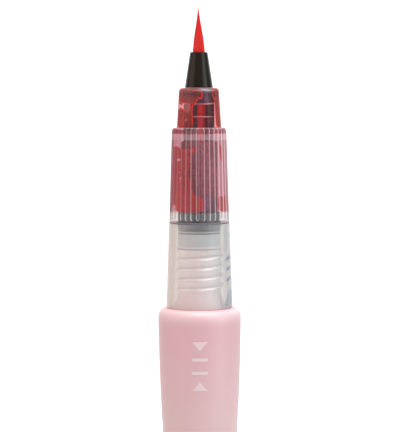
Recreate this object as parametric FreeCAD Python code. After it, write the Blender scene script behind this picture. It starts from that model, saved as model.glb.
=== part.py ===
"""Squeeze-fed brush pen, standing on its tail with the brush up.

The row frame has +Z along the pen, from the tail to the brush, and its origin at the centre of the tail's
base. The finger mark on the soft barrel faces -Y. Every part is close to a body of revolution about Z.
Lengths are in millimetres. Heights are named *_z and radii *_r.
"""

import FreeCAD
import Part

import math
import os

V = FreeCAD.Vector
UP = V(0, 0, 1)
ORIGIN = V(0, 0, 0)

# ---- overall heights ----
PEN_LENGTH = 139.0
FERRULE_MOUTH_z = 129.5
NOSE_TOP_z = 121.9
STEP_z = 113.4
FLANGE_z = 93.0
LIP_z = 90.85
SHOULDER_z = 74.65

# ---- barrel, a soft blown bottle ----
WALL = 1.0
BARREL_OUTLINE = [(2.0, 5.20), (12.0, 5.68), (26.0, 6.56), (40.0, 7.51), (52.2, 8.27), (62.5, 8.69), (71.6, 8.89)]
SHOULDER_ROUND = 2.0
BASE_RING_r = 4.1
PUNT_r = 2.8
PUNT_DEPTH = 0.6
FLOOR_THICKNESS = 1.2
NECK_r = 4.65
NECK_BORE_r = 3.8
FLARE_TOP_z = 78.4
FLARE_TOP_r = 4.95
FLARE_FOOT_r = 5.9

# ---- screw thread between the barrel's neck and the sleeve ----
PITCH = 2.15
THREAD_CREST_r = 5.25
THREAD_FOOT_z = 77.4
THREAD_RISE = 8.9
RIDGE_FOOT_WIDTH = 0.95
RIDGE_CREST_WIDTH = 0.45
INNER_CREST_r = 4.87
INNER_RISE = 6.0
THREAD_ROOT_SINK = 0.12

# ---- soft window of the barrel that the finger pushes in ----
WINDOW_MID_z = 55.5
WINDOW_HALF_WIDTH = 4.4
WINDOW_HALF_HEIGHT = 15.0
WINDOW_GAP = 0.15

# ---- finger mark ----
MARK_HEIGHT = 0.12
MARK_MID_z = 63.0
MARK_PITCH = 2.85
MARK_WIDTH = 3.4
MARK_TALL = 1.9
MARK_BAR = 0.75

# ---- sleeve, the frosted threaded skirt ----
SLEEVE_TOP_r = 6.52
SLEEVE_FOOT_r = 7.15
SLEEVE_FOOT_z = 74.70
SLEEVE_TOP_z = 92.80
SLEEVE_BORE_r = 5.45
SLEEVE_SEAT_r = 4.78
SLEEVE_SEAT_z = 87.6
SLEEVE_MOUTH_r = 6.0

# ---- grip, the clear front moulding ----
GRIP_TOP_r = 5.83
GRIP_FOOT_r = 6.44
GRIP_FOOT_z = 93.12
GRIP_ROUND = 0.85
NOSE_TOP_r = 4.28
NOSE_FOOT_r = 4.78
NOSE_ROUND = 0.95
NOSE_MOUTH_r = 3.09
NOSE_LIP = 0.7
NOSE_BORE_r = 3.50
CAVITY_TOP_z = 111.8
CAVITY_TOP_r = 4.35
CAVITY_FOOT_r = 4.62
GROOVES = 32
GROOVE_TURN = -3.0
GROOVE_TOOL_r = 0.42
GROOVE_DEPTH = 0.20
GROOVE_FOOT_z = 93.7

# ---- ferrule ----
FERRULE_TIP_r = 1.86
FERRULE_FOOT_r = 3.01
FERRULE_FLANGE_r = 3.42
FERRULE_FOOT_z = 118.6
BRISTLE_BORE_r = 1.36
SOCKET_r = 1.90
SOCKET_TOP_z = 123.2

# ---- brush ----
TUFT_r = 1.31
BEND_z = 131.0
TUFT_BEND_r = 1.15
TUFT_BELLY = [(133.0, 0.92), (135.6, 0.50), (137.5, 0.22)]
TUFT_POINT_r = 0.06
BEND_SOCKET_r = 1.22
ROOT_DISC_r = 1.80
ROOT_DISC_THICKNESS = 0.7

# ---- feed ----
FEED_ROD_r = 1.80
FEED_ROD_FOOT_z = 108.5
CAGE_r = 3.30
CAGE_INNER_r = 1.95
CAGE_SLOTS = 4
CAGE_SLOT_WIDTH = 2.40
CAGE_TURN = 15.0
CAGE_FOOT_z = 109.5
CAGE_RINGS_z = (118.2, 115.5)
CAGE_RING_THICKNESS = 0.35
SPONGE_r = 3.92
SPONGE_FOOT_z = 95.45
SPONGE_TOP_z = 110.4
FILM_THICKNESS = 0.12
FILM_FOOT_z = 95.5
FILM_TOP_z = 109.4
FILM_ANGLE = 230.0
FILM_START = 130.0

# ---- plug, valve and seal ----
PLUG_TOP_z = 95.30
PLUG_TOP_r = 4.56
PLUG_FLANGE_r = 6.45
PLUG_FLANGE_THICKNESS = 0.26
PLUG_BODY_r = 4.72
PLUG_SEAT_z = 91.60
PLUG_SPIGOT_r = 3.60
PLUG_SPIGOT_FOOT_z = 87.9
PLUG_BORE_r = 1.0
VALVE_POCKET_r = 2.60
VALVE_POCKET_TOP_z = 90.90
VALVE_r = 2.55
VALVE_THICKNESS = 0.5
VALVE_DOME = 0.45
RETAINER_BORE_r = 1.5
SEAL_THICKNESS = 0.66

# ---- contents of the barrel ----
INK_LEVEL_z = 27.0
HAIR = 0.05


def line(a, b):
    return Part.LineSegment(V(a[0], 0, a[1]), V(b[0], 0, b[1])).toShape()


def rounded(points):
    """Edges through (r, z) points; a third number rounds that corner with an arc of that radius."""
    corners = []
    for i, p in enumerate(points):
        here = V(p[0], 0, p[1])
        radius = p[2] if len(p) > 2 else 0.0
        if not radius:
            corners.append((here, here, None))
            continue
        before = points[i - 1]
        after = points[i + 1]
        to_before = (V(before[0], 0, before[1]) - here).normalize()
        to_after = (V(after[0], 0, after[1]) - here).normalize()
        half = to_before.getAngle(to_after) / 2
        reach = radius / math.tan(half)
        centre = here + (to_before + to_after).normalize() * (radius / math.sin(half))
        middle = centre + (here - centre).normalize() * radius
        corners.append((here + to_before * reach, here + to_after * reach, middle))
    edges = []
    for i, (start, end, middle) in enumerate(corners):
        if middle is not None:
            edges.append(Part.Arc(start, middle, end).toShape())
        if i + 1 < len(corners) and (end - corners[i + 1][0]).Length > 1e-7:
            edges.append(Part.LineSegment(end, corners[i + 1][0]).toShape())
    return edges


def spin(edges):
    """Closes the edges into a face beside the axis and revolves it about Z."""
    face = Part.Face(Part.Wire(Part.__sortEdges__(edges)))
    solid = face.revolve(ORIGIN, UP, 360)
    return tidy(solid)


def lathe(points):
    """A body of revolution from a closed list of (r, z[, corner radius]) points that starts on a sharp corner."""
    return spin(rounded(list(points) + [points[0][:2]]))


def tidy(shape):
    """The shape as one solid of positive volume."""
    solid = shape.Solids[0] if len(shape.Solids) == 1 else shape
    if solid.Volume < 0:
        solid.reverse()
    return solid


def tube(outer_r, inner_r, foot_z, top_z):
    return lathe([(inner_r, foot_z), (outer_r, foot_z), (outer_r, top_z), (inner_r, top_z)])


def rod(radius, foot_z, top_z):
    return Part.makeCylinder(radius, top_z - foot_z, V(0, 0, foot_z))


def outline_spline(grow):
    """The barrel's side as a smooth curve, offset outward by grow."""
    curve = Part.BSplineCurve()
    curve.interpolate([V(r + grow, 0, z) for z, r in BARREL_OUTLINE])
    return curve.toShape()


def thread(root_r, crest_r, foot_z, rise):
    """A helical ridge whose foot is at root_r and whose crest is at crest_r, for an outer or an inner thread."""
    helix = Part.makeHelix(PITCH, rise, root_r)
    helix.translate(V(0, 0, foot_z))
    half_foot = RIDGE_FOOT_WIDTH / 2
    half_crest = RIDGE_CREST_WIDTH / 2
    corners = [
        V(root_r, 0, foot_z - half_foot),
        V(crest_r, 0, foot_z - half_crest),
        V(crest_r, 0, foot_z + half_crest),
        V(root_r, 0, foot_z + half_foot),
    ]
    section = Part.makePolygon(corners + corners[:1])
    return Part.Wire(helix).makePipeShell([section], True, True)


def barrel_blank():
    """The whole bottle before its thread is added and its window is cut."""
    top_z, top_r = BARREL_OUTLINE[-1]
    foot_z, foot_r = BARREL_OUTLINE[0]
    outside = outline_spline(0)
    inside = outline_spline(-WALL)
    inner_top = SHOULDER_z - WALL
    base = rounded([
        (0, PUNT_DEPTH),
        (PUNT_r - PUNT_DEPTH, PUNT_DEPTH, 0.3),
        (PUNT_r, 0),
        (BASE_RING_r, 0),
        (foot_r - 0.02, 0.9, 0.6),
        (foot_r, foot_z),
    ])
    shoulder = rounded([
        (top_r, top_z),
        (top_r, SHOULDER_z, SHOULDER_ROUND),
        (FLARE_FOOT_r, SHOULDER_z, 0.2),
        (FLARE_TOP_r, FLARE_TOP_z, 0.8),
        (NECK_r, FLARE_TOP_z + 0.4),
        (NECK_r, LIP_z, 0.15),
        (NECK_BORE_r, LIP_z),
        (NECK_BORE_r, FLARE_TOP_z, 1.0),
        (FLARE_FOOT_r - WALL, inner_top, 0.4),
        (top_r - WALL, inner_top, SHOULDER_ROUND - WALL / 2),
        (top_r - WALL, top_z),
    ])
    floor_z = PUNT_DEPTH + FLOOR_THICKNESS
    floor = rounded([
        (foot_r - WALL, foot_z),
        (foot_r - WALL - 0.3, floor_z),
        (0, floor_z),
        (0, PUNT_DEPTH),
    ])
    return spin(base + [outside] + shoulder + [inside] + floor)


def window(gap):
    """The oval that the finger presses, as a prism along Y through the front wall only."""
    half_height = WINDOW_HALF_HEIGHT + gap
    half_width = WINDOW_HALF_WIDTH + gap
    oval = Part.Ellipse(ORIGIN, half_height, half_width).toShape()
    oval.rotate(ORIGIN, V(0, 1, 0), 90)
    oval.rotate(ORIGIN, UP, 90)
    oval.translate(V(0, -12, WINDOW_MID_z))
    return Part.Face(Part.Wire(oval)).extrude(V(0, 9, 0))


def barrel(blank):
    ridge = thread(NECK_r - THREAD_ROOT_SINK, THREAD_CREST_r, THREAD_FOOT_z, THREAD_RISE)
    return blank.fuse(ridge).cut(window(WINDOW_GAP))


def push_wall(blank):
    return blank.common(window(0))


def mark_prism(points):
    """A flat shape in X and Z, drawn through the front of the barrel along Y."""
    corners = [V(x, -12, z) for x, z in points]
    return Part.Face(Part.makePolygon(corners + corners[:1])).extrude(V(0, 9, 0))


def press_mark():
    """Two arrowheads that point at two bars: a plain sign for pressing here, raised on the soft wall."""
    top_z, top_r = BARREL_OUTLINE[-1]
    foot_z, foot_r = BARREL_OUTLINE[0]
    skin = spin([
        outline_spline(0),
        line((top_r, top_z), (top_r + MARK_HEIGHT, top_z)),
        outline_spline(MARK_HEIGHT),
        line((foot_r, foot_z), (foot_r + MARK_HEIGHT, foot_z)),
    ])
    half = MARK_WIDTH / 2
    shapes = []
    for side in (-1, 1):
        far = MARK_MID_z + side * (1.5 * MARK_PITCH + MARK_TALL / 2)
        near = far - side * MARK_TALL
        shapes.append([(-half, far), (half, far), (0, near)])
        middle = MARK_MID_z + side * MARK_PITCH / 2
        low, high = middle - MARK_BAR / 2, middle + MARK_BAR / 2
        shapes.append([(-half, low), (half, low), (half, high), (-half, high)])
    return Part.makeCompound([skin.common(mark_prism(s)).Solids[0] for s in shapes])


def ink_reserve():
    """The ink that stands in the tail of the barrel."""
    foot_z, foot_r = BARREL_OUTLINE[0]
    top_z, top_r = BARREL_OUTLINE[-1]
    inset = WALL + HAIR
    cavity = spin([
        outline_spline(-inset),
        line((foot_r - inset, foot_z), (0, foot_z)),
        line((0, foot_z), (0, top_z)),
        line((0, top_z), (top_r - inset, top_z)),
    ])
    return cavity.common(rod(top_r, foot_z, INK_LEVEL_z))


def sleeve():
    shell = lathe([
        (SLEEVE_SEAT_r, SLEEVE_TOP_z),
        (SLEEVE_SEAT_r, SLEEVE_SEAT_z),
        (SLEEVE_BORE_r, SLEEVE_SEAT_z - 0.25),
        (SLEEVE_BORE_r, FLARE_TOP_z + 0.3, 1.0),
        (SLEEVE_MOUTH_r, SLEEVE_FOOT_z + 0.5),
        (SLEEVE_MOUTH_r, SLEEVE_FOOT_z),
        (SLEEVE_FOOT_r, SLEEVE_FOOT_z, 0.15),
        (SLEEVE_TOP_r, SLEEVE_TOP_z, 0.08),
    ])
    ridge = thread(SLEEVE_BORE_r + THREAD_ROOT_SINK, INNER_CREST_r, THREAD_FOOT_z + 1.5 * PITCH, INNER_RISE)
    return shell.fuse(ridge)


def grip_blank():
    return lathe([
        (CAVITY_FOOT_r, GRIP_FOOT_z),
        (GRIP_FOOT_r, GRIP_FOOT_z, 0.08),
        (GRIP_TOP_r, STEP_z, GRIP_ROUND),
        (NOSE_FOOT_r, STEP_z, 0.15),
        (NOSE_TOP_r, NOSE_TOP_z, NOSE_ROUND),
        (NOSE_MOUTH_r, NOSE_TOP_z),
        (NOSE_MOUTH_r, NOSE_TOP_z - NOSE_LIP),
        (NOSE_BORE_r, NOSE_TOP_z - NOSE_LIP),
        (NOSE_BORE_r + 0.08, CAVITY_TOP_z + 0.3, 0.25),
        (CAVITY_TOP_r, CAVITY_TOP_z, 0.15),
    ])


def groove_tool():
    """A round-ended cutter that lies along the grip's tapered side, on the -Y side."""
    lean = (GRIP_FOOT_r - GRIP_TOP_r) / (STEP_z - GRIP_FOOT_z)
    out = GROOVE_TOOL_r - GROOVE_DEPTH
    low_z = GROOVE_FOOT_z + GROOVE_TOOL_r
    low = V(0, -(GRIP_FOOT_r - lean * (low_z - GRIP_FOOT_z) + out), low_z)
    high = V(0, -(GRIP_TOP_r + out), STEP_z + 0.5)
    shaft = Part.makeCylinder(GROOVE_TOOL_r, (high - low).Length, low, high - low)
    return shaft.fuse(Part.makeSphere(GROOVE_TOOL_r, low))


def grip():
    """The clear nose and the grooved finger grip in one moulding."""
    tool = groove_tool()
    cutters = []
    for i in range(GROOVES):
        cutter = tool.copy()
        cutter.rotate(ORIGIN, UP, GROOVE_TURN + i * 360.0 / GROOVES)
        cutters.append(cutter)
    return grip_blank().cut(cutters)


def ferrule():
    return lathe([
        (BRISTLE_BORE_r, FERRULE_MOUTH_z),
        (BRISTLE_BORE_r, SOCKET_TOP_z),
        (SOCKET_r, SOCKET_TOP_z),
        (SOCKET_r, FERRULE_FOOT_z),
        (FERRULE_FLANGE_r, FERRULE_FOOT_z),
        (FERRULE_FLANGE_r, NOSE_TOP_z - NOSE_LIP - 0.03),
        (FERRULE_FOOT_r, NOSE_TOP_z - NOSE_LIP - 0.03),
        (FERRULE_FOOT_r, NOSE_TOP_z + 0.05),
        (FERRULE_TIP_r, FERRULE_MOUTH_z, 0.15),
    ])


def bristle_root():
    """The gripped foot of the tuft, with a hollow top that the bending part turns in."""
    stub = rod(TUFT_r, SOCKET_TOP_z, BEND_z - 0.3)
    return stub.cut(Part.makeSphere(BEND_SOCKET_r, V(0, 0, BEND_z)))


def bristle_tip():
    """The free part of the tuft, round at its foot so that it can turn about the bend."""
    side = Part.BSplineCurve()
    side.interpolate(
        [V(TUFT_BEND_r, 0, BEND_z)] + [V(r, 0, z) for z, r in TUFT_BELLY] + [V(TUFT_POINT_r, 0, PEN_LENGTH - 0.05)]
    )
    quarter = TUFT_BEND_r * math.sqrt(0.5)
    foot = Part.Arc(V(0, 0, BEND_z - TUFT_BEND_r), V(quarter, 0, BEND_z - quarter), V(TUFT_BEND_r, 0, BEND_z))
    return spin([
        foot.toShape(),
        side.toShape(),
        line((TUFT_POINT_r, PEN_LENGTH - 0.05), (0, PEN_LENGTH)),
        line((0, PEN_LENGTH), (0, BEND_z - TUFT_BEND_r)),
    ])


def root_disc():
    top = SOCKET_TOP_z - 0.02
    return rod(ROOT_DISC_r, top - ROOT_DISC_THICKNESS, top)


def feed_rod():
    return rod(FEED_ROD_r, FEED_ROD_FOOT_z, SOCKET_TOP_z - 0.04 - ROOT_DISC_THICKNESS)


def feed_cage():
    """A slotted tube that holds the feed rod in the middle of the nose, with two rings across its slots."""
    top_z = CAGE_RINGS_z[0] + CAGE_RING_THICKNESS
    slots = []
    for i in range(CAGE_SLOTS):
        slot = Part.makeBox(CAGE_r + 1, CAGE_SLOT_WIDTH, top_z - CAGE_FOOT_z, V(0, -CAGE_SLOT_WIDTH / 2, CAGE_FOOT_z))
        slot.rotate(ORIGIN, UP, -90 + CAGE_TURN + i * 360.0 / CAGE_SLOTS)
        slots.append(slot)
    walls = tube(CAGE_r, CAGE_INNER_r, CAGE_FOOT_z, top_z).cut(slots)
    rings = [tube(CAGE_r, CAGE_INNER_r, z, z + CAGE_RING_THICKNESS) for z in CAGE_RINGS_z]
    return rings[0].fuse(rings[1:] + walls.Solids)


def ink_sponge():
    """The ink store, with a well in its top for the foot of the cage and the feed rod."""
    block = rod(SPONGE_r, SPONGE_FOOT_z, SPONGE_TOP_z)
    cage_well = rod(CAGE_r + HAIR, CAGE_FOOT_z - HAIR, SPONGE_TOP_z + 1)
    rod_well = rod(FEED_ROD_r + HAIR, FEED_ROD_FOOT_z - HAIR, SPONGE_TOP_z + 1)
    return block.cut([cage_well, rod_well])


def cavity_r(z):
    """The grip's inner radius at a height in its tapered cavity."""
    share = (z - GRIP_FOOT_z) / (CAVITY_TOP_z - GRIP_FOOT_z)
    return CAVITY_FOOT_r + (CAVITY_TOP_r - CAVITY_FOOT_r) * share


def ink_film():
    """Ink that wets part of the grip's inner wall."""
    low_r = cavity_r(FILM_FOOT_z) - 0.02
    high_r = cavity_r(FILM_TOP_z) - 0.02
    ring = rounded([
        (low_r - FILM_THICKNESS, FILM_FOOT_z),
        (low_r, FILM_FOOT_z),
        (high_r, FILM_TOP_z),
        (high_r - FILM_THICKNESS, FILM_TOP_z),
        (low_r - FILM_THICKNESS, FILM_FOOT_z),
    ])
    film = Part.Face(Part.Wire(ring)).revolve(ORIGIN, UP, FILM_ANGLE)
    film.rotate(ORIGIN, UP, FILM_START)
    return tidy(film)


def plug():
    """The grey stopper between the barrel and the grip; its thin flange shows between grip and sleeve."""
    flange_foot = FLANGE_z - PLUG_FLANGE_THICKNESS / 2
    flange_top = FLANGE_z + PLUG_FLANGE_THICKNESS / 2 - 0.03
    return lathe([
        (PLUG_BORE_r, PLUG_TOP_z),
        (PLUG_BORE_r, VALVE_POCKET_TOP_z),
        (VALVE_POCKET_r, VALVE_POCKET_TOP_z),
        (VALVE_POCKET_r, PLUG_SPIGOT_FOOT_z),
        (PLUG_SPIGOT_r, PLUG_SPIGOT_FOOT_z),
        (PLUG_SPIGOT_r, PLUG_SEAT_z),
        (PLUG_BODY_r, PLUG_SEAT_z, 0.12),
        (PLUG_BODY_r, flange_foot),
        (PLUG_FLANGE_r, flange_foot),
        (PLUG_FLANGE_r, flange_top),
        (PLUG_TOP_r, flange_top),
        (PLUG_TOP_r, PLUG_TOP_z, 0.2),
    ])


def slit_valve():
    """A domed silicone disc with a slit that opens when the barrel is squeezed."""
    top = VALVE_POCKET_TOP_z - 0.03
    foot = top - VALVE_THICKNESS
    dome_r = RETAINER_BORE_r - 0.1
    disc = lathe([
        (0, top),
        (0, foot - VALVE_DOME),
        (dome_r * 0.6, foot - VALVE_DOME, 0.3),
        (dome_r, foot),
        (VALVE_r, foot),
        (VALVE_r, top),
        (PLUG_BORE_r, top, 0.2),
        (PLUG_BORE_r * 0.5, top - VALVE_DOME),
        (0, top - VALVE_DOME),
    ][1:])
    slit = Part.makeBox(1.2, 0.06, 3, V(-0.6, -0.03, foot - VALVE_DOME - 1))
    return disc.cut(slit)


def valve_retainer():
    top = VALVE_POCKET_TOP_z - 0.06 - VALVE_THICKNESS
    return tube(VALVE_r, RETAINER_BORE_r, PLUG_SPIGOT_FOOT_z + 0.3, top)


def seal_ring():
    foot = LIP_z + 0.03
    return lathe([
        (PLUG_SPIGOT_r + HAIR, foot),
        (NECK_r - 0.05, foot, 0.15),
        (NECK_r - 0.05, foot + SEAL_THICKNESS, 0.15),
        (PLUG_SPIGOT_r + HAIR, foot + SEAL_THICKNESS),
    ])


def export(name, shape):
    shape.exportStep(os.path.join("parts", name + ".step"))
    print(
        f"{name:15s} volume {shape.Volume:9.2f} mm3  solids {len(shape.Solids)}  faces {len(shape.Faces)}"
        f"  valid {shape.isValid()}"
    )


def main():
    os.makedirs("parts", exist_ok=True)
    blank = barrel_blank()
    pieces = {
        "barrel": barrel(blank),
        "push_wall": push_wall(blank),
        "press_mark": press_mark(),
        "ink_reserve": ink_reserve(),
        "sleeve": sleeve(),
        "grip": grip(),
        "ferrule": ferrule(),
        "bristle_root": bristle_root(),
        "bristle_tip": bristle_tip(),
        "root_disc": root_disc(),
        "feed_rod": feed_rod(),
        "feed_cage": feed_cage(),
        "ink_sponge": ink_sponge(),
        "ink_film": ink_film(),
        "plug": plug(),
        "slit_valve": slit_valve(),
        "valve_retainer": valve_retainer(),
        "seal_ring": seal_ring(),
    }
    for name, shape in pieces.items():
        export(name, shape)


main()
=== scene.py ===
"""Brush pen: the looks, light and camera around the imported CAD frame.

The pen stands on its tail at the origin with its brush up (+Z) and its press mark towards -Y.
Shapes are given in millimetres and turned into metres when a mesh is made. Angles around the pen are
in degrees from the front (-Y), positive towards +X.
"""

import math
import random

import bmesh
import bpy
import numpy as np
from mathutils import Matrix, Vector


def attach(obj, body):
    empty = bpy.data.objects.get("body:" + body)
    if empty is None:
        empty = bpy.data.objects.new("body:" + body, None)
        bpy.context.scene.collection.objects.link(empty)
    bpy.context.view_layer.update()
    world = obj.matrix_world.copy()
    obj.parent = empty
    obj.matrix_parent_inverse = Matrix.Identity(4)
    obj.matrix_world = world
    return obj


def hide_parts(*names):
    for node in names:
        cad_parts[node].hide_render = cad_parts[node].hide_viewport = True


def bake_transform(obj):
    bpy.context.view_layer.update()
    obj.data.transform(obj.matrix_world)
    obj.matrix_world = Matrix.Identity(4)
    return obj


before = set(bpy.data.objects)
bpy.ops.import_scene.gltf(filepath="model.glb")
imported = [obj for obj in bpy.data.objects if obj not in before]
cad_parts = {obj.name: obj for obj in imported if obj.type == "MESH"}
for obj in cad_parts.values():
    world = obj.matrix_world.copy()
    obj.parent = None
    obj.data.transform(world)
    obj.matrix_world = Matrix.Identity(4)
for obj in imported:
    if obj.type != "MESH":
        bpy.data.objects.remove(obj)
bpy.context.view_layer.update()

MM = 0.001
random.seed(7)

# ---- main sizes, in millimetres, as in the CAD ----
MOUTH_Z = 129.5
NOSE_TOP = (121.9, 4.28)
NOSE_FOOT = (113.4, 4.78)
GRIP_TOP = (113.4, 5.83)
GRIP_FOOT = (93.12, 6.44)
SLEEVE_TOP = (92.8, 6.52)
SLEEVE_FOOT = (74.7, 7.15)
GROOVES = 32
GROOVE_TURN = -3.0
GROOVE_HALF = 0.36
GROOVE_DEPTH = 0.2
GROOVE_FOOT = 93.7
GROOVE_HEAD = 112.75
GROOVE_LINE_HEAD = 113.35
PITCH = 2.15
THREAD_START = (77.4, 0.0)
THREAD_TURNS = 4.14
NECK_R = 4.65
THREAD_HEIGHT = 0.6
LIP_Z = 90.85
SHOULDER_Z = 74.65
BARREL = [(2.0, 5.20), (12.0, 5.68), (26.0, 6.56), (40.0, 7.51), (52.2, 8.27), (62.5, 8.69), (71.6, 8.89)]
SEAM_Z = 28.0
MARK_MID_Z = 63.0
MARK_PITCH = 2.85
MARK_WIDTH = 3.4
MARK_TALL = 1.9
MARK_BAR = 0.75
MARK_POINT = 0.1
MARK_LIFT = 0.09
MARK_EDGE_LIFT = 0.05
NOSE_MOUTH_R = 3.11
TUFT_FOOT_Z = 128.9
TUFT_TALL = 10.0
TUFT_LEAN = 0.10
ABOVE_THE_PEN = 200.0


# ---------------------------------------------------------------- shapes

def along(start, end, z):
    """The radius at height z on the straight side between two (z, r) points."""
    return start[1] + (end[1] - start[1]) * (z - start[0]) / (end[0] - start[0])


def bent(points, steps=6):
    """(r, z) points in which each third number rounds off that corner."""
    out = []
    for i, p in enumerate(points):
        here = Vector(p[:2])
        if len(p) < 3:
            out.append(here)
            continue
        to_last = (Vector(points[i - 1][:2]) - here).normalized()
        to_next = (Vector(points[i + 1][:2]) - here).normalized()
        reach = p[2] / math.tan(to_last.angle(to_next) / 2)
        for k in range(steps + 1):
            t = k / steps
            out.append(here + to_last * reach * (1 - t) ** 2 + to_next * reach * t ** 2)
    return [(v.x, v.y) for v in out]


def smooth_line(points, step):
    """Points every step along a smooth curve through (z, r) points, as (r, z)."""
    z = np.array([p[0] for p in points])
    r = np.array([p[1] for p in points])
    slope = np.gradient(r, z)
    out = []
    for i in range(len(z) - 1):
        gap = z[i + 1] - z[i]
        count = max(2, int(gap / step))
        for k in range(count):
            t = k / count
            h00, h10 = 2 * t ** 3 - 3 * t ** 2 + 1, t ** 3 - 2 * t ** 2 + t
            h01, h11 = -2 * t ** 3 + 3 * t ** 2, t ** 3 - t ** 2
            value = h00 * r[i] + h10 * gap * slope[i] + h01 * r[i + 1] + h11 * gap * slope[i + 1]
            out.append((float(value), float(z[i] + t * gap)))
    out.append((float(r[-1]), float(z[-1])))
    return out


def make(name, verts, faces, material, body=None, sharp=40, values=None, merge=True):
    """A mesh piece from millimetre points; values are named numbers, one per point."""
    data = bpy.data.meshes.new(name)
    data.from_pydata([(v[0] * MM, v[1] * MM, v[2] * MM) for v in verts], [], faces)
    for key, numbers in (values or {}).items():
        layer = data.attributes.new(key, "FLOAT", "POINT")
        layer.data.foreach_set("value", np.array(numbers, np.float32))
    if merge:
        work = bmesh.new()
        work.from_mesh(data)
        bmesh.ops.remove_doubles(work, verts=work.verts, dist=1e-8)
        work.to_mesh(data)
        work.free()
    data.polygons.foreach_set("use_smooth", [True] * len(data.polygons))
    data.set_sharp_from_angle(angle=math.radians(sharp))
    data.materials.append(material)
    obj = bpy.data.objects.new(name, data)
    bpy.context.scene.collection.objects.link(obj)
    if body:
        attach(obj, body)
    return obj


def spot(angle, r, z):
    """A point at an angle from the front, a radius and a height."""
    a = math.radians(angle - 90)
    return (r * math.cos(a), r * math.sin(a), z)


def skin(radius, angles, heights, values=None):
    """A sheet around the pen at radius(angle, z), closed when the angles go all round.

    values are functions of the angle and height, and come back as one number per point.
    """
    closed = abs(angles[-1] - angles[0] + angles[1] - angles[0] - 360) < 1e-6
    verts = [spot(a, radius(a, z), z) for z in heights for a in angles]
    n = len(angles)
    faces = []
    for i in range(len(heights) - 1):
        for k in range(n if closed else n - 1):
            a, b = i * n + k, i * n + (k + 1) % n
            faces.append((a, b, b + n, a + n))
    numbers = {key: [f(a, z) for z in heights for a in angles] for key, f in (values or {}).items()}
    return verts, faces, numbers


def ring(count):
    return [360.0 * k / count - 180 for k in range(count)]


def lathe(name, profile, material, body=None, count=144, sharp=40, values=None):
    """A turned piece from (r, z) points: outer sides run upward, inner sides downward.

    values are functions of the angle and height, as in skin.
    """
    verts = [spot(a, r, z) for r, z in profile for a in ring(count)]
    faces = []
    for i in range(len(profile) - 1):
        for k in range(count):
            a, b = i * count + k, i * count + (k + 1) % count
            faces.append((a, b, b + count, a + count))
    numbers = {key: [f(a, z) for r, z in profile for a in ring(count)] for key, f in (values or {}).items()}
    return make(name, verts, faces, material, body, sharp, numbers)


# ---------------------------------------------------------------- materials

class Look:
    """A node material, built with a few short helpers."""

    def __init__(self, name):
        self.material = bpy.data.materials.new(name)
        self.material.use_nodes = True
        self.tree = self.material.node_tree
        self.tree.nodes.clear()
        self.place = self.add("ShaderNodeTexCoord").outputs["Object"]

    def add(self, kind, inputs=None, **settings):
        node = self.tree.nodes.new(kind)
        for key, value in settings.items():
            setattr(node, key, value)
        for key, value in (inputs or {}).items():
            if isinstance(value, bpy.types.NodeSocket):
                self.tree.links.new(value, node.inputs[key])
            else:
                node.inputs[key].default_value = value
        return node

    def math(self, operation, a, b=0.0, c=0.0, clamp=False):
        node = self.add("ShaderNodeMath", {0: a, 1: b, 2: c}, operation=operation)
        node.use_clamp = clamp
        return node.outputs[0]

    def noise(self, size_mm, stretch=(1, 1, 1), detail=3.0):
        """Noise whose blots are about size_mm across."""
        mapping = self.add("ShaderNodeMapping", {"Vector": self.place, "Scale": stretch})
        inputs = {"Vector": mapping.outputs[0], "Scale": 1 / (size_mm * MM), "Detail": detail}
        return self.add("ShaderNodeTexNoise", inputs).outputs["Fac"]

    def height(self, low_mm, high_mm):
        """0 at one height and 1 at the other."""
        z = self.add("ShaderNodeSeparateXYZ", {0: self.place}).outputs[2]
        inputs = {"Value": z, "From Min": low_mm * MM, "From Max": high_mm * MM}
        return self.add("ShaderNodeMapRange", inputs).outputs[0]

    def value(self, name):
        return self.add("ShaderNodeAttribute", attribute_name=name).outputs["Fac"]

    def ramp(self, fac, stops):
        """A colour ramp from (position, colour) stops."""
        node = self.add("ShaderNodeValToRGB", {0: fac})
        band = node.color_ramp
        while len(band.elements) < len(stops):
            band.elements.new(0.5)
        for element, (position, colour) in zip(band.elements, stops):
            element.position = position
            element.color = (*colour, 1)
        return node.outputs[0]

    def mix(self, fac, a, b):
        """A colour between a and b."""
        node = self.add("ShaderNodeMix", data_type="RGBA")
        for socket, value in ((node.inputs[0], fac), (node.inputs[6], a), (node.inputs[7], b)):
            if isinstance(value, bpy.types.NodeSocket):
                self.tree.links.new(value, socket)
            else:
                socket.default_value = (*value, 1) if isinstance(value, tuple) else value
        return node.outputs[2]

    def solid(self, colour, roughness, bump=None, bump_mm=0.02, **more):
        """A Principled shader. more sets its other sockets, with _ for a space."""
        inputs = {"Base Color": colour if isinstance(colour, bpy.types.NodeSocket) else (*colour, 1)}
        inputs["Roughness"] = roughness
        if bump is not None:
            tilt = self.add("ShaderNodeBump", {"Height": bump, "Strength": 1.0, "Distance": bump_mm * MM})
            inputs["Normal"] = tilt.outputs[0]
        for key, value in more.items():
            inputs[key.replace("_", " ")] = value
        return self.add("ShaderNodeBsdfPrincipled", inputs).outputs[0]

    def done(self, shader):
        self.add("ShaderNodeOutputMaterial", {"Surface": shader})
        return self.material

    def see_through(self, share, tint, body):
        """share of the solid body over clear that passes light in the colour tint."""
        colour = tint if isinstance(tint, bpy.types.NodeSocket) else (*tint, 1)
        clear = self.add("ShaderNodeBsdfTransparent", {"Color": colour}).outputs[0]
        return self.add("ShaderNodeMixShader", {0: share, 1: clear, 2: body}).outputs[0]


def mottled(name, dark, light, size_mm, roughness, bump_mm=0.01, **more):
    look = Look(name)
    grain = look.noise(size_mm)
    colour = look.mix(look.ramp(grain, [(0.35, (0, 0, 0)), (0.65, (1, 1, 1))]), dark, light)
    return look.done(look.solid(colour, roughness, grain, bump_mm, **more))


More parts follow.
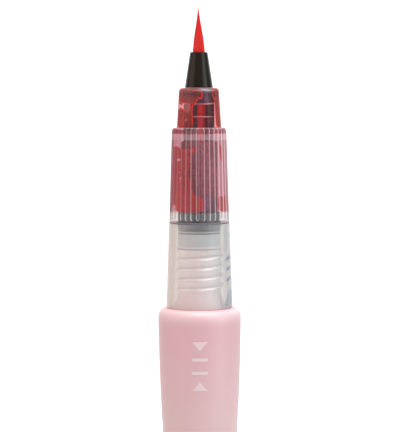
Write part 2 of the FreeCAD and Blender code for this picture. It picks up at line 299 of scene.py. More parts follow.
def barrel_look():
    look = Look("soft_pink")
    cloud = look.noise(9.0)
    grain = look.noise(0.25, detail=2.0)
    base = look.mix(cloud, (0.490, 0.298, 0.306), (0.510, 0.319, 0.325))
    upper = look.mix(cloud, (0.506, 0.268, 0.292), (0.524, 0.289, 0.312))
    base = look.mix(look.height(50.0, 68.0), base, upper)
    # painted highlight: the shoulder paler towards its rounded top edge
    base = look.mix(look.math("POWER", look.height(70.6, 74.3), 2.4), base, (0.80, 0.57, 0.585))
    # painted shade: a deep-pink contact band on the shoulder's top where the sleeve's foot sits, lighter than
    # the shadow rendered there
    base = look.mix(look.height(74.45, 74.62), base, (1.0, 0.50, 0.58))
    return look.done(look.solid(base, 0.44, grain, 0.004, Subsurface_Weight=0.12, Subsurface_Scale=0.002,
                                Subsurface_Radius=(1.0, 0.45, 0.4), Specular_IOR_Level=0.75))


def mark_look():
    look = Look("press_mark_pink")
    grain = look.noise(0.4)
    base = look.mix(grain, (0.560, 0.400, 0.410), (0.580, 0.420, 0.432))
    return look.done(look.solid(base, 0.5, grain, 0.003))


def neck_look():
    look = Look("neck_milky")
    lead = look.value("lead")
    cloud = look.noise(3.0)
    pink = look.mix(cloud, (0.78, 0.66, 0.67), (0.82, 0.71, 0.72))
    flare = look.mix(cloud, (0.76, 0.58, 0.60), (0.80, 0.63, 0.65))
    grey = look.mix(cloud, (0.49, 0.475, 0.505), (0.53, 0.515, 0.545))
    base = look.mix(look.height(75.0, 78.6), flare, pink)
    base = look.mix(look.height(87.6, 88.2), base, grey)
    # painted shadow: a dark band in the gap between the seal and the neck's lip
    base = look.mix(look.height(90.62, 90.72), base, (0.09, 0.09, 0.105))
    # painted highlights and painted shade lines along the thread's turns, placed by lead; shine makes the
    # highlights strongest a little right of the front and shade fades the dark lines away from there
    greys = [(0.14, 0.5), (0.30, 0.62), (0.42, 1.0), (0.50, 0.80), (0.62, 0.0), (0.78, 0.42), (0.95, 0.5)]
    line = look.ramp(lead, [(at, (grey, grey, grey)) for at, grey in greys])
    bright = look.math("MULTIPLY_ADD", line, 2.0, -1.0, True)
    dark = look.math("MULTIPLY_ADD", line, -2.0, 1.0, True)
    shine = look.math("MULTIPLY_ADD", look.value("shine"), 0.75, 0.25)
    base = look.mix(look.math("MULTIPLY", bright, shine), base, (1.0, 1.0, 1.0))
    dark = look.math("MULTIPLY", dark, look.value("shade"))
    base = look.mix(look.math("MULTIPLY", dark, 0.42), base, (0.42, 0.35, 0.37))
    # the painted highlights also glow a little, as emission
    glow = look.math("MULTIPLY", look.math("MULTIPLY", bright, look.value("shine")), 0.25)
    return look.done(look.solid(base, 0.42, cloud, 0.006, Specular_IOR_Level=0.35,
                                Emission_Color=(1, 0.96, 0.92, 1), Emission_Strength=glow))


def grip_look():
    look = Look("clear_rose_grip")
    # line marks painted highlight lines on the grooves' flanks, where the wall is more solid and paler
    line = look.value("line")
    wet = look.height(95.1, 95.6)
    edge = look.add("ShaderNodeLayerWeight", {"Blend": 0.35}).outputs["Facing"]
    haze = look.noise(2.5, (1, 1, 0.35))
    share = look.math("MULTIPLY_ADD", line, 0.52, 0.03)
    share = look.math("MULTIPLY_ADD", edge, 0.16, share)
    share = look.math("MULTIPLY_ADD", haze, 0.05, share)
    share = look.math("MULTIPLY_ADD", look.math("COMPARE", look.height(110.4, 112.4), 0.5, 0.32), 0.20, share)
    # painted highlight: the grip's rounded top corner more solid and paler
    share = look.math("MULTIPLY_ADD", look.height(113.1, 113.35), 0.30, share, True)
    rose = look.mix(haze, (0.67, 0.42, 0.47), (0.75, 0.505, 0.545))
    tint = look.mix(wet, (0.84, 0.80, 0.79), rose)
    shade = look.mix(wet, (0.68, 0.59, 0.58), (0.60, 0.33, 0.35))
    tint = look.mix(look.math("MULTIPLY", edge, 1.3, clamp=True), tint, shade)
    pale = look.mix(wet, (0.74, 0.70, 0.70), look.mix(haze, (0.68, 0.42, 0.46), (0.76, 0.50, 0.54)))
    pale = look.mix(line, pale, look.mix(wet, (0.80, 0.78, 0.78), (0.76, 0.53, 0.56)))
    return look.done(look.see_through(share, tint, look.solid(pale, 0.15, Specular_IOR_Level=0.5)))


def nose_look():
    look = Look("clear_nose")
    edge = look.add("ShaderNodeLayerWeight", {"Blend": 0.25}).outputs["Facing"]
    haze = look.noise(2.0)
    share = look.math("MULTIPLY_ADD", edge, 0.15, 0.02)
    share = look.math("MULTIPLY_ADD", haze, 0.03, share)
    share = look.math("MULTIPLY_ADD", look.height(121.72, 121.86), 0.45, share)
    # glint is a painted highlight on the nose's rounded top: more solid and pale grey there
    glint = look.value("glint")
    share = look.math("MULTIPLY_ADD", glint, 0.54, share, True)
    tint = look.mix(haze, (0.88, 0.50, 0.52), (0.93, 0.58, 0.60))
    tint = look.mix(look.math("MULTIPLY", edge, 0.8), tint, (0.62, 0.26, 0.26))
    pale = look.mix(glint, look.mix(haze, (0.62, 0.36, 0.38), (0.70, 0.46, 0.47)), (0.50, 0.50, 0.53))
    return look.done(look.see_through(share, tint, look.solid(pale, 0.10, Specular_IOR_Level=0.6)))


def nose_lip_look():
    look = Look("clear_nose_lip")
    haze = look.noise(1.0)
    pale = look.mix(haze, (0.26, 0.20, 0.23), (0.34, 0.28, 0.31))
    return look.done(look.see_through(0.75, (0.70, 0.55, 0.60), look.solid(pale, 0.2)))


def sleeve_look():
    look = Look("frosted_sleeve")
    edge = look.add("ShaderNodeLayerWeight", {"Blend": 0.3}).outputs["Facing"]
    # painted refraction: dark blue-grey streaks on the wall beside the thread's crests and the flare on the
    # right
    painted_refraction = look.value("painted_refraction")
    haze = look.noise(4.0)
    # painted cool light: the right side of the wall greyer and bluer than the left
    painted_cool_light = look.value("painted_cool_light")
    rim = look.math("MULTIPLY", edge, 3.6, clamp=True)
    share = look.math("MULTIPLY_ADD", rim, 0.40, 0.09)
    share = look.math("MULTIPLY_ADD", painted_refraction, 0.80, share)
    share = look.math("MULTIPLY_ADD", haze, 0.05, share, True)
    tint = look.mix(rim, (0.95, 0.94, 0.93), (0.86, 0.81, 0.78))
    tint = look.mix(painted_cool_light, tint, (0.66, 0.70, 0.74))
    pale = look.mix(haze, (0.74, 0.69, 0.67), (0.79, 0.75, 0.73))
    pale = look.mix(rim, pale, look.mix(painted_cool_light, (0.58, 0.485, 0.45), (0.42, 0.41, 0.42)))
    pale = look.mix(painted_refraction, pale, (0.085, 0.115, 0.155))
    return look.done(look.see_through(share, tint, look.solid(pale, 0.25, haze, 0.004)))


def sleeve_end_look():
    look = Look("frosted_sleeve_end")
    haze = look.noise(2.0)
    pale = look.mix(haze, (0.70, 0.62, 0.61), (0.76, 0.69, 0.68))
    return look.done(look.see_through(0.08, (0.96, 0.93, 0.93), look.solid(pale, 0.3)))


def sleeve_seat_look():
    look = Look("frosted_sleeve_bore")
    haze = look.noise(2.0)
    pale = look.mix(haze, (0.42, 0.42, 0.45), (0.52, 0.52, 0.55))
    return look.done(look.see_through(0.5, (0.80, 0.80, 0.84), look.solid(pale, 0.3)))


def film_look(name, dark, light, share, edge, top=None):
    """Wet ink: nearly solid at its rim, and darker and more see-through inside. top colours its upper end."""
    look = Look(name)
    rim = look.value("rim")
    blots = look.noise(1.6, (1, 1, 0.6))
    base = look.mix(blots, dark, light)
    if top:
        base = look.mix(look.height(119.7, 120.1), base, top)
    base = look.mix(rim, base, edge)
    cover = look.math("MULTIPLY_ADD", rim, 0.92 - share, share)
    tint = look.mix(blots, (0.55, 0.10, 0.09), (0.66, 0.14, 0.12))
    return look.done(look.see_through(cover, tint, look.solid(base, 0.25, Specular_IOR_Level=0.4)))


def cage_look():
    look = Look("cage_dark")
    cloud = look.noise(1.2)
    upper = look.mix(cloud, (0.030, 0.014, 0.020), (0.060, 0.028, 0.038))
    lower = look.mix(cloud, (0.055, 0.032, 0.042), (0.095, 0.060, 0.078))
    legs = look.mix(cloud, (0.24, 0.15, 0.18), (0.31, 0.20, 0.23))
    base = look.mix(look.height(115.5, 115.8), lower, upper)
    base = look.mix(look.height(112.6, 113.4), legs, base)
    # painted highlights: a pale band across the cage at each of the two rings
    for low in (115.4, 118.1):
        near = look.math("COMPARE", look.height(low, low + 1.0), 0.33, 0.12)
        base = look.mix(near, base, (0.62, 0.45, 0.48))
    return look.done(look.solid(base, 0.35, cloud, 0.01))


def wick_look():
    look = Look("wick_crimson")
    cloud = look.noise(0.5)
    upper = look.mix(cloud, (0.94, 0.018, 0.034), (1.0, 0.034, 0.050))
    lower = look.mix(cloud, (0.82, 0.085, 0.14), (0.95, 0.12, 0.18))
    return look.done(look.solid(look.mix(look.height(115.5, 115.8), lower, upper), 0.5, cloud, 0.02))


def sponge_look():
    look = Look("ink_sponge_felt")
    grain = look.ramp(look.noise(0.36, detail=2.0), [(0.42, (0, 0, 0)), (0.58, (1, 1, 1))])
    upper = look.mix(grain, (0.21, 0.098, 0.155), (0.42, 0.150, 0.19))
    lower = look.mix(grain, (0.15, 0.14, 0.24), (0.30, 0.20, 0.33))
    base = look.mix(look.height(98.3, 98.7), lower, upper)
    return look.done(look.solid(base, 0.7, grain, 0.03))


def plug_look():
    """Grey, with a pale flange that is dark only at its outer edge."""
    look = Look("plug_grey")
    cloud = look.noise(3.0)
    grey = look.mix(cloud, (0.076, 0.076, 0.099), (0.094, 0.095, 0.120))
    flat = look.add("ShaderNodeVectorMath", {0: look.place, 1: (1, 1, 0)}, operation="MULTIPLY").outputs[0]
    radius = look.add("ShaderNodeVectorMath", {0: flat}, operation="LENGTH").outputs["Value"]
    flange = look.math("COMPARE", radius, 5.55 * MM, 0.73 * MM)
    base = look.mix(flange, grey, (0.62, 0.57, 0.56))
    return look.done(look.solid(base, 0.35, cloud, 0.01))


def seal_look():
    look = Look("silicone_grey")
    cloud = look.noise(0.6)
    pale = look.mix(cloud, (0.36, 0.36, 0.38), (0.44, 0.44, 0.46))
    grey = look.mix(cloud, (0.105, 0.112, 0.132), (0.125, 0.132, 0.155))
    return look.done(look.solid(look.mix(look.height(91.15, 91.25), pale, grey), 0.4, cloud, 0.01))


def ferrule_look():
    look = Look("ferrule_black")
    grain = look.noise(0.5)
    base = look.mix(grain, (0.0085, 0.0052, 0.0035), (0.0135, 0.0085, 0.0062))
    return look.done(look.solid(base, 0.24, grain, 0.004, Specular_IOR_Level=0.24,
                                Specular_Tint=(1, 0.86, 0.80, 1)))


def tuft_look():
    look = Look("bristle_red")
    strand = look.noise(0.35, (1, 1, 0.06))
    base = look.mix(strand, (0.62, 0.006, 0.007), (0.80, 0.024, 0.019))
    return look.done(look.solid(base, 0.38, strand, 0.02, Subsurface_Weight=0.15, Subsurface_Scale=0.0006,
                                Subsurface_Radius=(1.0, 0.2, 0.15)))


# ---------------------------------------------------------------- barrel

def barrel_side():
    return smooth_line(BARREL, 0.6)


def barrel():
    side = barrel_side()
    pink = barrel_look()
    lower = [(r, z) for r, z in side if z < SEAM_Z]
    upper = [(r, z) for r, z in side if z > SEAM_Z]
    seam = (float(np.interp(SEAM_Z, [z for r, z in side], [r for r, z in side])), SEAM_Z)
    base = bent([(0, 0.6), (2.2, 0.6, 0.3), (2.8, 0), (4.1, 0), (5.18, 0.9, 0.6), (5.20, 2.0)])
    tail = lathe("barrel_tail", base[:-1] + lower + [seam], pink, "bottle", 192)
    shoulder = bent([(8.89, 71.6), (8.89, SHOULDER_Z, 2.0), (5.9, SHOULDER_Z, 0.1), (5.85, 74.8)], 12)[1:]
    body = lathe("barrel_skin", [seam] + upper + shoulder, pink, None, 192)
    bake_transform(body)
    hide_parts("barrel", "push_wall")
    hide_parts("barrel")


def ridge_offset(angle, z):
    """How far z lies above the nearest turn of the thread, and what share of its height stands there."""
    turn = (angle - 90 - THREAD_START[1]) / 360.0
    nearest = round((z - THREAD_START[0]) / PITCH - turn)
    best = None
    for k in (nearest - 1, nearest, nearest + 1):
        total = turn + k
        offset = z - THREAD_START[0] - PITCH * total
        ends = min(1.0, max(0.0, total * 8), max(0.0, (THREAD_TURNS - total) * 8))
        if best is None or abs(offset) < abs(best[0]):
            best = (offset, max(0.0, ends))
    return best


def neck_radius(angle, z):
    offset, stands = ridge_offset(angle, z)
    ridge = min(1.0, max(0.0, (0.475 - abs(offset)) / 0.25)) * THREAD_HEIGHT * stands
    flare = max(0.0, (78.4 - z) / 3.65) ** 2 * 1.25
    bead = 0.30 * max(0.0, 1 - abs(z - 87.25) / 0.35)
    lip = 0.12 * max(0.0, (z - LIP_Z + 0.12) / 0.12)
    return NECK_R + max(ridge, flare, bead) - lip


def neck():
    count = 144
    heights = [74.6 + k * 0.1 for k in range(162)] + [90.75, 90.8, LIP_Z]
    # shade and shine set how strong the painted shade lines and painted highlights are around the neck; lead
    # places them along the thread
    shade = lambda a, z: 0.25 + 0.75 * math.exp(-((a - 25) / 48) ** 2)
    lead = lambda a, z: 0.5 + ridge_offset(a, z)[0] / PITCH if ridge_offset(a, z)[1] > 0.3 else 0.1
    shine = lambda a, z: math.exp(-(abs(a - 24) / 21) ** 3)
    looks = {"lead": lead, "shine": shine, "shade": shade}
    verts, faces, values = skin(neck_radius, ring(count), heights, looks)
    top = len(verts)
    verts += [spot(a, 3.85, LIP_Z) for a in ring(count)]
    for k in range(count):
        a, b = top - count + k, top - count + (k + 1) % count
        faces.append((a, b, b + count, a + count))
    for key, number in (("lead", 0.1), ("shine", 0.0), ("shade", 0.25)):
        values[key] += [number] * count
    piece = make("neck", verts, faces, neck_look(), "bottle", 50, values)
    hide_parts("barrel")


def press_mark():
    """Two arrowheads that point at two bars, raised a little on the soft wall."""
    z_side = [z for r, z in barrel_side()]
    r_side = [r for r, z in barrel_side()]
    verts, faces = [], []

    def patch(width_at, low, high):
        rows, columns = 12, 16
        start = len(verts)
        for i in range(rows + 1):
            z = low + (high - low) * i / rows
            r = float(np.interp(z, z_side, r_side))
            for k in range(columns + 1):
                x = width_at(z) * (k / columns - 0.5)
                edge = min(i, rows - i, k, columns - k) == 0
                lift = MARK_EDGE_LIFT if edge else MARK_LIFT
                verts.append(spot(math.degrees(math.asin(x / r)), r + lift, z))
        for i in range(rows):
            for k in range(columns):
                a = start + i * (columns + 1) + k
                faces.append((a, a + 1, a + columns + 2, a + columns + 1))

    for side in (-1, 1):
        far = MARK_MID_Z + side * (1.5 * MARK_PITCH + MARK_TALL / 2)
        near = far - side * MARK_TALL
        arrow = lambda z: along((near, MARK_POINT), (far, MARK_WIDTH), z)
        patch(arrow, min(near, far), max(near, far))
        at = MARK_MID_Z + side * MARK_PITCH / 2
        patch(lambda z: MARK_WIDTH, at - MARK_BAR / 2, at + MARK_BAR / 2)
    piece = make("press_mark_relief", verts, faces, mark_look(), None, 60, merge=False)
    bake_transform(piece)
    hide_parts("press_mark")


# ---------------------------------------------------------------- front section

def painted_refraction(angle, z):
    """Painted refraction: where the sleeve's wall looks blue and grey, beside the thread's crests and the
    flare on the right.
    """
    side = math.exp(-(abs(angle - 66) / 11) ** 3)
    spots = sum(math.exp(-(abs(z - mid - 0.03 * (angle - 66)) / 0.5) ** 3) for mid in (85.6, 83.4, 81.1))
    low = 1.0 if 75.0 < z < 79.0 and angle > 46 + 4.5 * (z - 75.0) and angle < 84 else 0.0
    low *= 0.75 + 0.25 * math.sin(9 * z + angle / 3)
    high = 0.35 * math.exp(-((angle - 60) / 7) ** 2) if 87.4 < z < 92.2 else 0.0
    return min(1.0, side * spots * 0.9 + 0.75 * low + high)


def painted_cool_light(angle, z):
    """Painted cool light: the right-hand side of the wall is a little greyer and bluer than the left."""
    return 0.62 * math.exp(-((angle - 62) / 20) ** 2) + 0.10 * (1 if 0 < angle < 90 else 0)


def sleeve():
    foot, top = SLEEVE_FOOT[0], SLEEVE_TOP[0]
    heights = [foot, 74.76, 74.85] + [75.0 + 0.2 * k for k in range(89)] + [92.74, top]
    bevel = lambda z: 0.06 * max(0.0, 1 - (z - foot) / 0.1, (z - 92.72) / 0.08)
    radius = lambda a, z: along(SLEEVE_TOP, SLEEVE_FOOT, z) - bevel(z)
    verts, faces, values = skin(radius, ring(192), heights, {"painted_refraction": painted_refraction, "painted_cool_light": painted_cool_light})
    piece = make("sleeve_shell", verts, faces, sleeve_look(), "front", 40, values)
    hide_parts("sleeve")
    for name, z, inner, outer in (("sleeve_foot_face", foot, 6.0, 7.08), ("sleeve_top_face", top, 4.8, 6.46)):
        ends = [(inner, z), (outer, z)] if z == foot else [(outer, z), (inner, z)]
        face = lathe(name, ends, sleeve_end_look(), "front", 192)
        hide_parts("sleeve")
    step = [(4.82, 87.62), (5.45, 87.35)]
    seat = lathe("sleeve_seat", step, sleeve_seat_look(), "front", 128)
    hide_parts("sleeve")


def groove(angle, z, head=GROOVE_HEAD):
    """0 at the middle of a groove, 1 at its edge and more on a rib; and the angle from that middle."""
    step = 360.0 / GROOVES
    off = (angle - GROOVE_TURN + step / 2) % step - step / 2
    across = math.radians(off) * along(GRIP_TOP, GRIP_FOOT, z)
    beyond = max(0.0, GROOVE_FOOT + GROOVE_HALF - z, z - head + GROOVE_HALF)
    return math.hypot(across, beyond) / GROOVE_HALF, off


def grip_radius(angle, z):
    into = groove(angle, z)[0]
    return along(GRIP_TOP, GRIP_FOOT, z) - GROOVE_DEPTH * max(0.0, 1 - into ** 2)


def groove_line(angle, z):
    """How strong the painted highlight line is on a groove's flank."""
    into, off = groove(angle, z, GROOVE_LINE_HEAD)
    near = math.exp(-((into - 0.72) / 0.30) ** 2)
    sway = math.sin(math.radians(2 * angle)) * (1 if off > 0 else -1)
    left = max(0.0, -math.sin(math.radians(angle))) * min(1.0, max(0.0, (z - 95.2) / 0.5))
    return near * min(1.0, max(0.12, 0.42 + 1.3 * sway)) * (1 - 0.8 * left ** 0.6)


def grip():
    angles = ring(GROOVES * 14)
    heights = [93.12, 93.2] + [93.3 + 0.09 * k for k in range(12)] + [94.6 + k * 1.0 for k in range(17)]
    heights += [111.4 + 0.1 * k for k in range(12)]
    verts, faces, values = skin(grip_radius, angles, heights, {"line": groove_line})
    n = len(angles)
    top = heights[-1]
    step_z, corner = GRIP_TOP
    cap = [(along(GRIP_TOP, GRIP_FOOT, top), top), (corner, step_z, 0.8), (4.95, step_z), (4.80, 113.42)]
    cap = bent(cap, 8)[1:]
    for r, z in cap:
        start = len(verts)
        verts += [spot(a, r, z) for a in angles]
        values["line"] += [groove_line(a, z) if r > 5.2 else 0.0 for a in angles]
        faces += [(start - n + k, start - n + (k + 1) % n, start + (k + 1) % n, start + k) for k in range(n)]
    piece = make("grip_shell", verts, faces, grip_look(), "front", 60, values)
    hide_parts("grip")


def glint(angle, z):
    """How strong the painted highlight on the rounded top of the nose is: a streak on the right and a faint
    one on the left.
    """
    right = math.exp(-((angle - 22) / 24) ** 2 - ((z - 121.4) / 0.28) ** 2)
    return right + 0.18 * math.exp(-((angle + 38) / 26) ** 2 - ((z - 121.2) / 0.7) ** 2)


def nose():
    top, r = NOSE_TOP
    side = bent([(NOSE_FOOT[1], 113.42), (4.33, 120.6), (r, top, 0.95), (NOSE_MOUTH_R, top)], 10)
    shell = lathe("nose_shell", side, nose_look(), "front", 160, 40, {"glint": glint})
    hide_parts("grip")
    inside = [(NOSE_MOUTH_R, 121.86), (NOSE_MOUTH_R, 121.2), (3.5, 121.2)]
    lip = lathe("nose_lip", inside, nose_lip_look(), "front", 128)
    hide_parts("grip")


def film_radius(z):
    """Just under the clear wall: the grooves' floors on the grip, the rounded corner at the nose's top."""
    if z < GRIP_TOP[0]:
        return along(GRIP_TOP, GRIP_FOOT, z) - 0.32
    side = along(NOSE_TOP, NOSE_FOOT, z) - 0.12
    rise = min(0.94, max(0.0, z - 120.95))
    return side - 0.95 + math.sqrt(0.95 ** 2 - rise ** 2)


def rounded_outline(points, times=2):
    """The closed outline with its corners cut twice, so that it flows like liquid."""
    for _ in range(times):
        cut = []
        for i, p in enumerate(points):
            q = points[(i + 1) % len(points)]
            cut.append((0.75 * p[0] + 0.25 * q[0], 0.75 * p[1] + 0.25 * q[1]))
            cut.append((0.25 * p[0] + 0.75 * q[0], 0.25 * p[1] + 0.75 * q[1]))
        points = cut
    return points


def depth_in(points, px, py):
    """Distance of each (px, py) to the outline, positive inside it."""
    inside = np.zeros(px.shape, bool)
    nearest = np.full(px.shape, 1e9)
    for i, (ax, ay) in enumerate(points):
        bx, by = points[(i + 1) % len(points)]
        crosses = (ay > py) != (by > py)
        if by != ay:
            inside ^= crosses & (px < (bx - ax) * (py - ay) / (by - ay) + ax)
        long2 = (bx - ax) ** 2 + (by - ay) ** 2 + 1e-12
        t = np.clip(((px - ax) * (bx - ax) + (py - ay) * (by - ay)) / long2, 0, 1)
        nearest = np.minimum(nearest, np.hypot(px - ax - t * (bx - ax), py - ay - t * (by - ay)))
    return np.where(inside, nearest, -nearest)


def film(name, outlines, holes, dots, material, plain_below=0.0):
    """Wet ink on the inside of the clear wall, from closed outlines of (angle, z) points.

    The ink's edge is brightest at its rim. Dots are small holes with no rim, and below plain_below every edge
    is drawn plain.
    """
    step = 0.13
    low = min(p[1] for o in outlines for p in o)
    high = max(p[1] for o in outlines for p in o)
    left = min(p[0] for o in outlines for p in o)
    right = max(p[0] for o in outlines for p in o)
    r = film_radius((low + high) / 2)
    wide = math.radians(1) * r
    zs = np.arange(low - step, high + 2 * step, step)
    ss = np.arange(left * wide - step, right * wide + 2 * step, step)
    px, py = np.meshgrid(ss, zs)
    flat = lambda outline: [(a * wide, z) for a, z in rounded_outline(outline)]
    depth = np.full(px.shape, -1e9)
    for outline in outlines:
        depth = np.maximum(depth, depth_in(flat(outline), px, py))
    for outline in holes:
        depth = np.minimum(depth, -depth_in(flat(outline), px, py))
    shore = np.where(py < plain_below, 1.0, depth)
    for outline in dots:
        depth = np.minimum(depth, -depth_in(flat(outline), px, py))
    verts, faces, rims, known = [], [], [], {}

    def point(key, s, z, d):
        if key not in known:
            known[key] = len(verts)
            verts.append(spot(s / wide, film_radius(z), z))
            rims.append(min(1.0, max(0.0, 1.5 * (1 - d / 0.36))))
        return known[key]

    rows, columns = depth.shape
    for i in range(rows - 1):
        for k in range(columns - 1):
            corners = [(i, k), (i, k + 1), (i + 1, k + 1), (i + 1, k)]
            if all(depth[c] <= 0 for c in corners):
                continue
            face = []
            for c, e in zip(corners, corners[1:] + corners[:1]):
                if depth[c] > 0:
                    face.append(point(c, ss[c[1]], zs[c[0]], shore[c]))
                if (depth[c] > 0) != (depth[e] > 0):
                    t = depth[c] / (depth[c] - depth[e])
                    s = ss[c[1]] + t * (ss[e[1]] - ss[c[1]])
                    z = zs[c[0]] + t * (zs[e[0]] - zs[c[0]])
                    edge = max(0.0, shore[c] + t * (shore[e] - shore[c]))
                    face.append(point((min(c, e), max(c, e)), s, z, edge))
            if len(face) > 2:
                faces.append(tuple(face))
    piece = make(name, verts, faces, material, "front", 60, {"rim": rims}, merge=False)
    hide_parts("ink_film")


def blob(angle, z, wide, tall):
    """A small round outline, sized in millimetres."""
    spread = math.degrees(wide / film_radius(z)) / 2
    turns = [k * math.pi / 4 for k in range(8)]
    return [(angle + spread * math.cos(t), z + tall / 2 * math.sin(t)) for t in turns]


def ink():
    wet = film_look("wet_ink_nose", (0.31, 0.060, 0.040), (0.43, 0.086, 0.050), 0.56, (0.76, 0.045, 0.035),
                    (0.16, 0.060, 0.055))
    bright = film_look("wet_ink_grip", (0.64, 0.052, 0.050), (0.80, 0.074, 0.066), 0.68, (0.80, 0.034, 0.034))
    left = [(-125, 121.6), (-67, 121.75), (-28, 121.6), (6, 121.3), (11, 120.8), (9.5, 119.6), (-3, 119.5),
            (-4.5, 118.9), (-12, 118.4), (-17, 117.9), (-18, 116.6), (-16, 115.0), (-16.5, 114.2),
            (-16.5, 113.43), (-24, 113.43), (-125, 113.43)]
    right = [(43, 121.7), (77, 121.8), (125, 121.6), (125, 113.5), (80, 113.45), (56, 113.45), (51, 114.2),
             (50, 116.0), (50, 118.8), (50, 119.5), (45, 119.6), (41, 120.4)]
    bubble = [(-125, 118.65), (-33, 118.6), (-26, 118.2), (-26, 117.2), (-33, 116.85), (-45, 117.15),
              (-60, 117.75), (-80, 117.2), (-125, 117.0)]
    film("ink_film_nose", [left, right], [bubble], [blob(-38, 115.0, 0.75, 0.7)], wet, 113.9)
    arcs = ((-120, -28), (8, 120))
    collar = [[(a, 113.1), (b, 113.1), (b, 112.1), ((a + b) / 2, 112.2), (a, 112.1)] for a, b in arcs]
    thin = film_look("thin_ink_collar", (0.46, 0.065, 0.110), (0.56, 0.095, 0.145), 0.40, (0.5, 0.06, 0.10))
    film("ink_film_collar", collar, [], [], thin, ABOVE_THE_PEN)
    mauve = film_look("thin_ink_bubble", (0.36, 0.27, 0.27), (0.44, 0.33, 0.33), 0.74, (0.30, 0.20, 0.21))
    window = [(-46, 118.6), (-33, 118.6), (-25.5, 118.2), (-25.5, 117.2), (-33, 116.85), (-46, 117.1)]
    film("ink_film_bubble", [window, blob(-38, 115.0, 0.75, 0.7)], [], [], mauve, ABOVE_THE_PEN)
    lower = [(-125, 109.6), (-55, 109.5), (-45, 109.1), (-34, 108.9), (-24, 108.7), (-12, 109.1),
             (-4, 109.4), (-5, 108.8), (-13, 108.1), (-16.5, 107.0), (-17, 104.0), (-17.5, 101.0),
             (-15, 99.8), (-9, 99.0), (1, 98.6), (7.5, 98.5), (9.5, 97.6), (10, 95.4),
             (-56, 95.4), (-57, 96.8), (-66, 97.1), (-78, 96.3), (-125, 96.2)]
    block = [(43, 98.9), (58, 98.8), (125, 98.9), (125, 95.4), (41, 95.4), (42.5, 97.2)]
    streak = [(51, 109.9), (56, 109.8), (61, 108.2), (58, 106.2), (54, 106.2), (50, 108.0)]
    teeth = [blob(-20.5, z, 0.75, 0.8) for z in (107.7, 105.6, 104.2, 103.2)]
    bubbles = [blob(-50, 106.6, 1.1, 0.8), blob(-42, 106.6, 0.35, 0.4), blob(-45, 103.9, 0.3, 0.35),
               blob(-40, 103.4, 0.45, 0.4), blob(-33, 103.5, 0.25, 0.3), blob(-44, 102.6, 0.45, 0.4),
               blob(-33, 102.4, 0.25, 0.3)]
    film("ink_film_grip", [lower, block, streak], [], teeth + bubbles, bright, 95.9)


def ferrule():
    profile = bent([(1.3, TUFT_FOOT_Z), (1.36, MOUTH_Z - 0.02), (1.86, MOUTH_Z, 0.14), (3.01, 121.95)])
    profile = profile[::-1]
    cone = lathe("ferrule_cone", profile, ferrule_look(), "front", 128)
    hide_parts("ferrule")
    low = bent([(1.95, 118.65), (3.42, 118.65), (3.42, 121.15, 0.1), (2.96, 121.15)])
    # the flange gets a dark bluish mottle, unlike the black cone
    flange_bluish = mottled("ferrule_flange", (0.040, 0.046, 0.090), (0.070, 0.074, 0.130), 0.8, 0.3)
    foot = lathe("ferrule_foot", low, flange_bluish, "front", 128)
    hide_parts("ferrule")


TUFT_SIDE = [(TUFT_FOOT_Z, 1.28), (129.75, 1.27), (131.2, 1.13), (133.0, 0.92), (135.6, 0.475), (137.5, 0.19),
             (138.9, 0.03)]


def tuft_r(z):
    return float(np.interp(z, [p[0] for p in TUFT_SIDE], [p[1] for p in TUFT_SIDE]))


def tuft():
    """A core and many fine hairs that lean together to the point, as one mesh."""
    rows = 34
    heights = [TUFT_FOOT_Z + TUFT_TALL * (k / rows) for k in range(rows + 1)]
    verts, faces, _ = skin(lambda a, z: max(0.008, tuft_r(z) - 0.05), ring(48), heights)
    verts = [(x - TUFT_LEAN * ((z - TUFT_FOOT_Z) / TUFT_TALL) ** 2, y, z) for x, y, z in verts]
    hairs, sides, steps = 210, 5, 18
    for h in range(hairs):
        angle = 360.0 * h / hairs + random.uniform(-1, 1)
        depth = random.uniform(0.0, 0.05)
        sway = random.uniform(-9, 9)
        end = 138.95 - abs(random.gauss(0, 0.45))
        wave = random.uniform(0, 6.28)
        start = len(verts)
        for i in range(steps + 1):
            t = i / steps
            z = TUFT_FOOT_Z + (end - TUFT_FOOT_Z) * t
            r = max(0.0, tuft_r(z) - depth * (1 - t) + 0.012 * math.sin(wave + 5 * t))
            middle = Vector(spot(angle + sway * t, r, z)) + Vector((-TUFT_LEAN * t ** 2, 0, 0))
            thick = 0.034 * (1 - 0.75 * t)
            for s in range(sides):
                turn = 2 * math.pi * s / sides
                verts.append(tuple(middle + Vector((math.cos(turn), math.sin(turn), 0)) * thick))
        for i in range(steps):
            for s in range(sides):
                a, b = start + i * sides + s, start + i * sides + (s + 1) % sides
                faces.append((a, b, b + sides, a + sides))
        faces.append(tuple(start + steps * sides + s for s in range(sides)))
    piece = make("bristle_tuft", verts, faces, tuft_look(), None, 70, merge=False)
    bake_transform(piece)
    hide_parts("bristle_root", "bristle_tip")


def inner_parts():
    """Materials for the CAD nodes that show, or that sit hidden inside."""
    looks = {
        "feed_cage": cage_look(),
        "ink_sponge": sponge_look(),
        "plug": plug_look(),
        "feed_rod": wick_look(),
        "root_disc": mottled("fused_bristle", (0.30, 0.02, 0.02), (0.45, 0.04, 0.03), 0.3, 0.4),
        "slit_valve": mottled("silicone_clear", (0.55, 0.55, 0.56), (0.66, 0.66, 0.67), 0.6, 0.35),
        "seal_ring": seal_look(),
        "valve_retainer": mottled("retainer_grey", (0.12, 0.12, 0.14), (0.17, 0.17, 0.19), 0.8, 0.4),
        "ink_reserve": mottled("ink_bulk", (0.30, 0.012, 0.015), (0.40, 0.022, 0.022), 2.0, 0.1),
    }
    for node, material in looks.items():
        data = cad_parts[node].data
        data.materials.clear()
        data.materials.append(material)


# ---------------------------------------------------------------- stage, light and camera

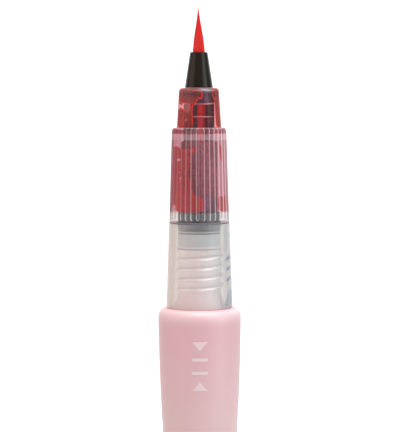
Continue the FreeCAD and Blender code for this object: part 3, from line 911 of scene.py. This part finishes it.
def stage():
    look = Look("studio_white")
    cloud = look.noise(400.0)
    white = look.mix(cloud, (0.90, 0.90, 0.90), (0.93, 0.93, 0.93))
    material = look.done(look.solid(white, 0.7, Emission_Color=(1, 1, 1, 1), Emission_Strength=0.42))
    profile = [(-1.2, 0.0), (0.5, 0.0)]
    turns = [k * math.pi / 24 for k in range(1, 13)]
    profile += [(0.5 + 0.4 * math.sin(t), 0.4 - 0.4 * math.cos(t)) for t in turns]
    profile += [(0.9, 1.4)]
    verts = [(x, y, z) for y, z in profile for x in (-1.4, 1.4)]
    faces = [(2 * i, 2 * i + 1, 2 * i + 3, 2 * i + 2) for i in range(len(profile) - 1)]
    data = bpy.data.meshes.new("studio_sweep")
    data.from_pydata(verts, [], faces)
    data.polygons.foreach_set("use_smooth", [True] * len(data.polygons))
    data.materials.append(material)
    sweep = bpy.data.objects.new("studio_sweep", data)
    bpy.context.scene.collection.objects.link(sweep)


def softbox(name, place, size, power, colour=(1, 1, 1)):
    data = bpy.data.lights.new(name, "AREA")
    data.shape = "RECTANGLE"
    data.size, data.size_y = size
    data.energy = power
    data.color = colour
    light = bpy.data.objects.new(name, data)
    light.location = place
    light.rotation_euler = (Vector((0, 0, 0.09)) - Vector(place)).to_track_quat("-Z", "Y").to_euler()
    bpy.context.scene.collection.objects.link(light)


def light():
    world = bpy.data.worlds.new("studio")
    world.use_nodes = True
    background = world.node_tree.nodes["Background"]
    background.inputs["Color"].default_value = (1, 1, 1, 1)
    background.inputs["Strength"].default_value = 0.34
    bpy.context.scene.world = world
    softbox("key_right", (0.55, -0.34, 0.28), (0.40, 0.60), 2.2, (0.72, 0.98, 1.0))
    softbox("fill_left", (-0.60, -0.22, 0.25), (0.60, 0.60), 1.4, (1.0, 0.94, 0.87))
    softbox("top", (0.10, -0.22, 0.72), (0.45, 0.45), 4.0)
    bpy.context.scene.view_settings.view_transform = "Standard"


def camera():
    data = bpy.data.cameras.new("camera")
    place = Vector((0.00015, -0.400, 0.117))
    target = Vector((0.00015, 0, 0.0944))
    data.sensor_width = 36
    width_in_view = 0.0929
    data.lens = data.sensor_width * (target - place).length / width_in_view
    data.clip_start, data.clip_end = 0.01, 10
    obj = bpy.data.objects.new("camera", data)
    obj.location = place
    turn = (target - place).to_track_quat("-Z", "Y")
    obj.rotation_euler = turn.to_euler()
    roll = -0.17
    obj.rotation_euler.rotate_axis("Z", math.radians(roll))
    bpy.context.scene.collection.objects.link(obj)
    bpy.context.scene.camera = obj


barrel()
neck()
press_mark()
sleeve()
grip()
nose()
ink()
ferrule()
tuft()
inner_parts()
stage()
light()
camera()
